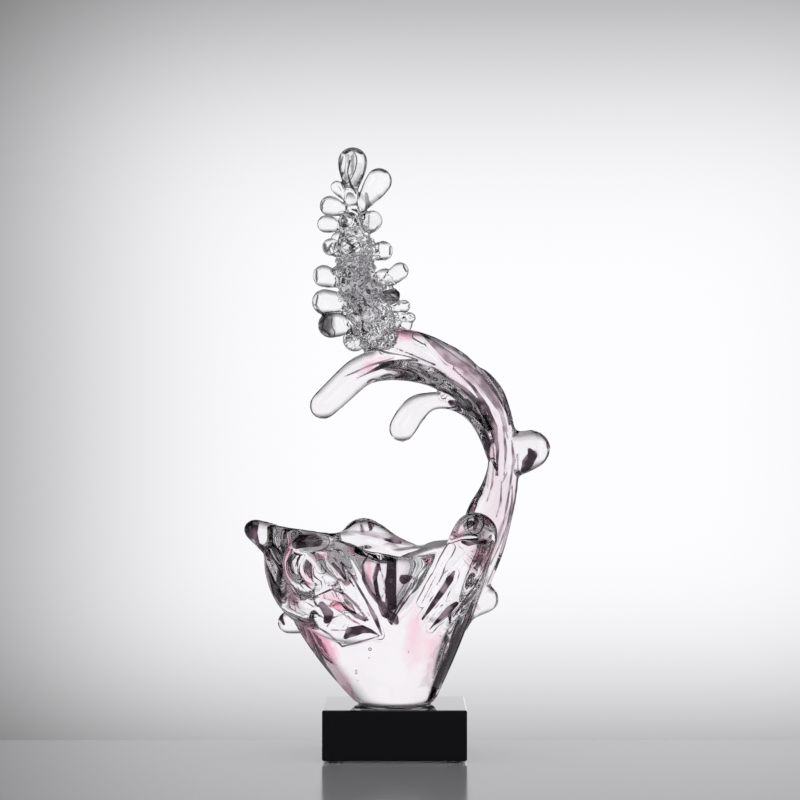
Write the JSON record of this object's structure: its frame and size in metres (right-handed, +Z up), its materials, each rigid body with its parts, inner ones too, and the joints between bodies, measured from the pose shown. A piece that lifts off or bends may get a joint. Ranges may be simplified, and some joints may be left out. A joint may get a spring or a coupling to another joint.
{
  "type": "glass sculpture",
  "caption": "Solid clear and pink glass sculpture: a flared vessel from which a fluted wave curls up to a spike of glass beads, on a square black glass plinth with clear bumpers.",
  "frame": {"origin": "middle of the plinth, on the surface that the bumpers stand on", "axes": "+Z up, +X to the viewer's right with the wave on the right, +Y away from the viewer; the plinth's sides are along X and Y"},
  "size_m": [0.2606, 0.1389, 0.5139],
  "materials": {
    "black_glass": "polished opaque black glass",
    "clear_adhesive": "clear cured adhesive",
    "clear_rubber": "clear soft bumper",
    "pink_glass": "fire-polished clear glass with pink veils",
    "clear_glass": "fire-polished clear glass"
  },
  "bodies": {
    "root": {"plinth_block": "black_glass", "adhesive_film": "clear_adhesive", "bumper_front_left": "clear_rubber", "bumper_front_right": "clear_rubber", "bumper_back_left": "clear_rubber", "bumper_back_right": "clear_rubber", "vessel": "pink_glass", "wave_trunk": "pink_glass", "petal_left_tip": "pink_glass", "petal_right": "pink_glass", "pleat_right": "pink_glass", "fold_left": "pink_glass", "curl_front": "pink_glass", "ridge_front": "pink_glass", "strand_outer": "pink_glass", "petal_back": "clear_glass", "curl_heart": "clear_glass", "knob_low_left": "clear_glass", "knob_low_right": "clear_glass", "drip_upper": "clear_glass", "drip_lower": "clear_glass", "knob_wave": "clear_glass", "blossom_core": "clear_glass", "bead_crown": "clear_glass", "bead_01": "clear_glass", "bead_02": "clear_glass", "bead_03": "clear_glass", "bead_04": "clear_glass", "bead_05": "clear_glass", "bead_06": "clear_glass", "bead_07": "clear_glass", "bead_08": "clear_glass", "bead_09": "clear_glass", "bead_10": "clear_glass", "bead_11": "clear_glass", "bead_12": "clear_glass", "bead_13": "clear_glass", "bead_14": "clear_glass", "bead_15": "clear_glass", "bead_16": "clear_glass", "bead_17": "clear_glass", "bead_18": "clear_glass", "bead_19": "clear_glass", "bead_20": "clear_glass", "bead_21": "clear_glass", "bead_22": "clear_glass", "bead_23": "clear_glass", "bead_24": "clear_glass", "bead_25": "clear_glass", "bead_26": "clear_glass", "bead_27": "clear_glass", "bead_28": "clear_glass", "bead_29": "clear_glass", "bead_30": "clear_glass", "bead_31": "clear_glass", "bead_32": "clear_glass"}
  },
  "joints": []
}
